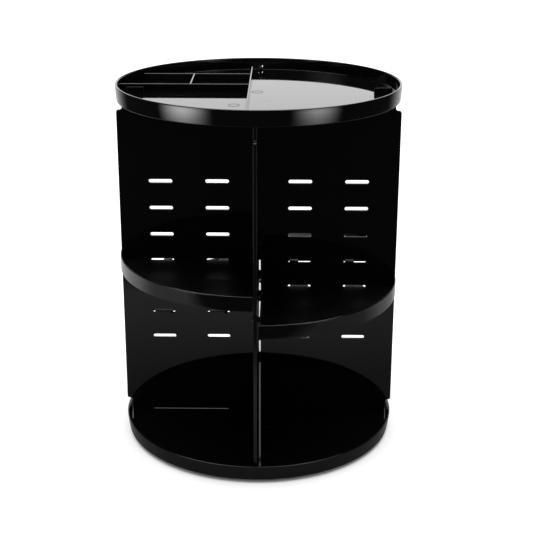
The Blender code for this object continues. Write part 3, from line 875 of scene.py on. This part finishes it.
# ---------------------------------------------------------------------------
# Turntable
# ---------------------------------------------------------------------------
def make_ball(node):
    """A smooth bearing ball, turned by chance so that no two lie alike."""
    low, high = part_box(node)
    bm = bmesh.new()
    radius = (high.z - low.z) / 2
    matrix = Matrix.Translation((low + high) / 2) @ Matrix.Rotation(RANDOM.uniform(0, 3), 4, "X")
    bmesh.ops.create_icosphere(bm, subdivisions=4, radius=radius, matrix=matrix)
    ball = mesh_object(node + "_finished", bm, "steel")
    smooth(ball)
    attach(ball, "bearing")
    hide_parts(node)


# ---------------------------------------------------------------------------
# Build
# ---------------------------------------------------------------------------
make_top_tray()
make_bottom_tray()
make_panel("main_panel", True, 0.0, 0.0)
make_panel("cross_panel", False, math.pi / 2, CROSS_PANEL_X)
for shelf_name, shelf_turn in SHELF_TURNS.items():
    make_shelf(shelf_name, shelf_turn)
for number in range(1, 9):
    make_ball(f"ball_{number}")
paint_cad(["base_plate"], "base")
paint_cad(["ball_cage"], "cage")
paint_cad(["pivot_screw", "pivot_washer"], "steel")
paint_cad([f"foot_{number}" for number in range(1, 7)], "rubber")


# ---------------------------------------------------------------------------
# Stage, light and camera
# ---------------------------------------------------------------------------
def painted_table_shade(nodes):
    """Painted light and shade: the table's colour in reflections, by the place on it.

    The colour is painted brightest behind the rack, darker close in front of the rack, darker to the right
    than to the left, and almost black far in front.
    """
    split = nodes.add("ShaderNodeSeparateXYZ")
    nodes.join(nodes.place, split.inputs["Vector"])
    across, depth = split.outputs["X"], split.outputs["Y"]
    side = nodes.remap(nodes.math("ABSOLUTE", across, 0.0), 0.12, 0.45, 0.0, 0.19)
    front = nodes.remap(depth, -0.3, -0.1, 0.21, 0.13)
    back = nodes.remap(depth, -0.04, 0.1, 0.0, 0.35)
    total = nodes.math("ADD", nodes.math("ADD", side, front), back)
    left_share = nodes.remap(across, -0.3, -0.1, 0.7, 1.0)
    right_share = nodes.remap(across, 0.08, 0.3, 1.0, 0.4)
    front_share = nodes.remap(depth, -0.40, -0.32, 0.08, 1.0)
    for share in (left_share, right_share, front_share):
        total = nodes.math("MULTIPLY", total, share)
    return total


def make_floor():
    """A pale table top, which is darker in reflections than to the eye; there its colour carries painted
    light and shade.
    """
    mesh = bpy.data.meshes.new("floor")
    left = [(-x, y, z) for x, y, z in reversed(TABLE_RIGHT)]
    corners = [*TABLE_RIGHT, *left]
    mesh.from_pydata(corners, [], [range(len(corners))])
    nodes = Nodes(bpy.data.materials.new("table"))
    nodes.shader.inputs["Base Color"].default_value = (0.9, 0.9, 0.9, 1.0)
    nodes.shader.inputs["Roughness"].default_value = 0.9
    nodes.shader.inputs["Specular IOR Level"].default_value = 0.0
    # Painted light and shade: reflections see a diffuse colour that is set by the place on the table.
    shade = nodes.add("ShaderNodeBsdfDiffuse")
    nodes.join(painted_table_shade(nodes), shade.inputs["Color"])
    rays = nodes.add("ShaderNodeLightPath")
    mix = nodes.add("ShaderNodeMixShader")
    nodes.join(rays.outputs["Is Camera Ray"], mix.inputs["Fac"])
    nodes.join(shade.outputs["BSDF"], mix.inputs[1])
    nodes.join(nodes.shader.outputs["BSDF"], mix.inputs[2])
    nodes.join(mix.outputs["Shader"], nodes.tree.nodes["Material Output"].inputs["Surface"])
    mesh.materials.append(nodes.owner)
    floor = bpy.data.objects.new("floor", mesh)
    bpy.context.scene.collection.objects.link(floor)


def glow(nodes, azimuth, centre, reach, brightness):
    """A soft lobe round a compass direction, in degrees, 0 in front and positive to the right."""
    away = nodes.math("ABSOLUTE", nodes.math("SUBTRACT", azimuth, math.radians(centre)), 0.0)
    lobe = nodes.add("ShaderNodeMapRange", interpolation_type="SMOOTHSTEP")
    lobe.inputs["From Min"].default_value = 0.0
    lobe.inputs["From Max"].default_value = math.radians(reach)
    lobe.inputs["To Min"].default_value = brightness
    lobe.inputs["To Max"].default_value = 0.0
    nodes.join(away, lobe.inputs["Value"])
    return lobe.outputs["Result"]


def mirrored_brightness(nodes):
    """Brightness of the surroundings in reflections: a low band behind and soft lobes at both sides."""
    split = nodes.add("ShaderNodeSeparateXYZ")
    nodes.join(nodes.place, split.inputs["Vector"])
    across, depth, height = split.outputs["X"], split.outputs["Y"], split.outputs["Z"]
    azimuth = nodes.math("ARCTAN2", across, nodes.math("MULTIPLY", depth, -1.0))
    level = nodes.remap(height, -0.5, 0.5, 0.0, 1.0)
    behind = nodes.ramp(nodes.remap(depth, 0.58, 0.92, 0.0, 1.0), ((0.0, 0.0), (1.0, 1.0)))
    band = nodes.ramp(level, BAND_BEHIND)
    band = nodes.math("MULTIPLY", nodes.math("MULTIPLY", behind, band), BAND_STRENGTH)
    sides = None
    for centre, reach, brightness in SIDE_GLOWS:
        lobe = glow(nodes, azimuth, centre, reach, brightness)
        sides = lobe if sides is None else nodes.math("ADD", sides, lobe)
    sides = nodes.math("MULTIPLY", sides, nodes.ramp(level, SIDE_LEVELS))
    return nodes.math("ADD", nodes.math("ADD", band, sides), AMBIENT)


def make_world():
    """Surroundings that are white to the eye and as light, and have their own pattern in reflections."""
    world = bpy.data.worlds.new("studio")
    bpy.context.scene.world = world
    nodes = Nodes(world, "Generated")
    background = nodes.tree.nodes["Background"]
    background.inputs["Color"].default_value = (1.0, 1.0, 1.0, 1.0)
    surroundings = nodes.add("ShaderNodeBackground")
    nodes.join(mirrored_brightness(nodes), surroundings.inputs["Strength"])
    rays = nodes.add("ShaderNodeLightPath")
    diffuse = rays.outputs["Is Diffuse Ray"]
    white = nodes.math("MAXIMUM", rays.outputs["Is Camera Ray"], diffuse)
    strength = nodes.remap(diffuse, 0.0, 1.0, SEEN_STRENGTH, LIGHT_STRENGTH)
    nodes.join(strength, background.inputs["Strength"])
    mix = nodes.add("ShaderNodeMixShader")
    nodes.join(white, mix.inputs["Fac"])
    nodes.join(surroundings.outputs["Background"], mix.inputs[1])
    nodes.join(background.outputs["Background"], mix.inputs[2])
    nodes.join(mix.outputs["Shader"], nodes.tree.nodes["World Output"].inputs["Surface"])


def add_overhead():
    """A large soft light above and behind the object."""
    light = bpy.data.lights.new("overhead", "AREA")
    light.shape = "RECTANGLE"
    light.size = 1.8
    light.size_y = 1.4
    light.energy = 40.0
    lamp = bpy.data.objects.new("overhead", light)
    lamp.location = (0.0, 0.1, 1.7)
    bpy.context.scene.collection.objects.link(lamp)


def make_camera():
    """A long lens in front of the rack, a little above it and to its right."""
    data = bpy.data.cameras.new("camera")
    data.sensor_width = 36.0
    data.lens = CAMERA_LENS
    data.clip_start = 0.01
    data.clip_end = 50.0
    camera = bpy.data.objects.new("camera", data)
    level = Vector((math.sin(CAMERA_YAW), math.cos(CAMERA_YAW), 0.0))
    forward = level * math.cos(CAMERA_PITCH) - Vector((0.0, 0.0, math.sin(CAMERA_PITCH)))
    right = Vector((level.y, -level.x, 0.0))
    up = right.cross(forward)
    right_rolled = right * math.cos(CAMERA_ROLL) + up * math.sin(CAMERA_ROLL)
    up_rolled = up * math.cos(CAMERA_ROLL) - right * math.sin(CAMERA_ROLL)
    turn = Matrix((right_rolled, up_rolled, -forward)).transposed()
    camera.matrix_world = Matrix.Translation(CAMERA_PLACE) @ turn.to_4x4()
    bpy.context.scene.collection.objects.link(camera)
    bpy.context.scene.camera = camera


make_floor()
make_world()
add_overhead()
make_camera()
bpy.context.scene.view_settings.view_transform = "Standard"
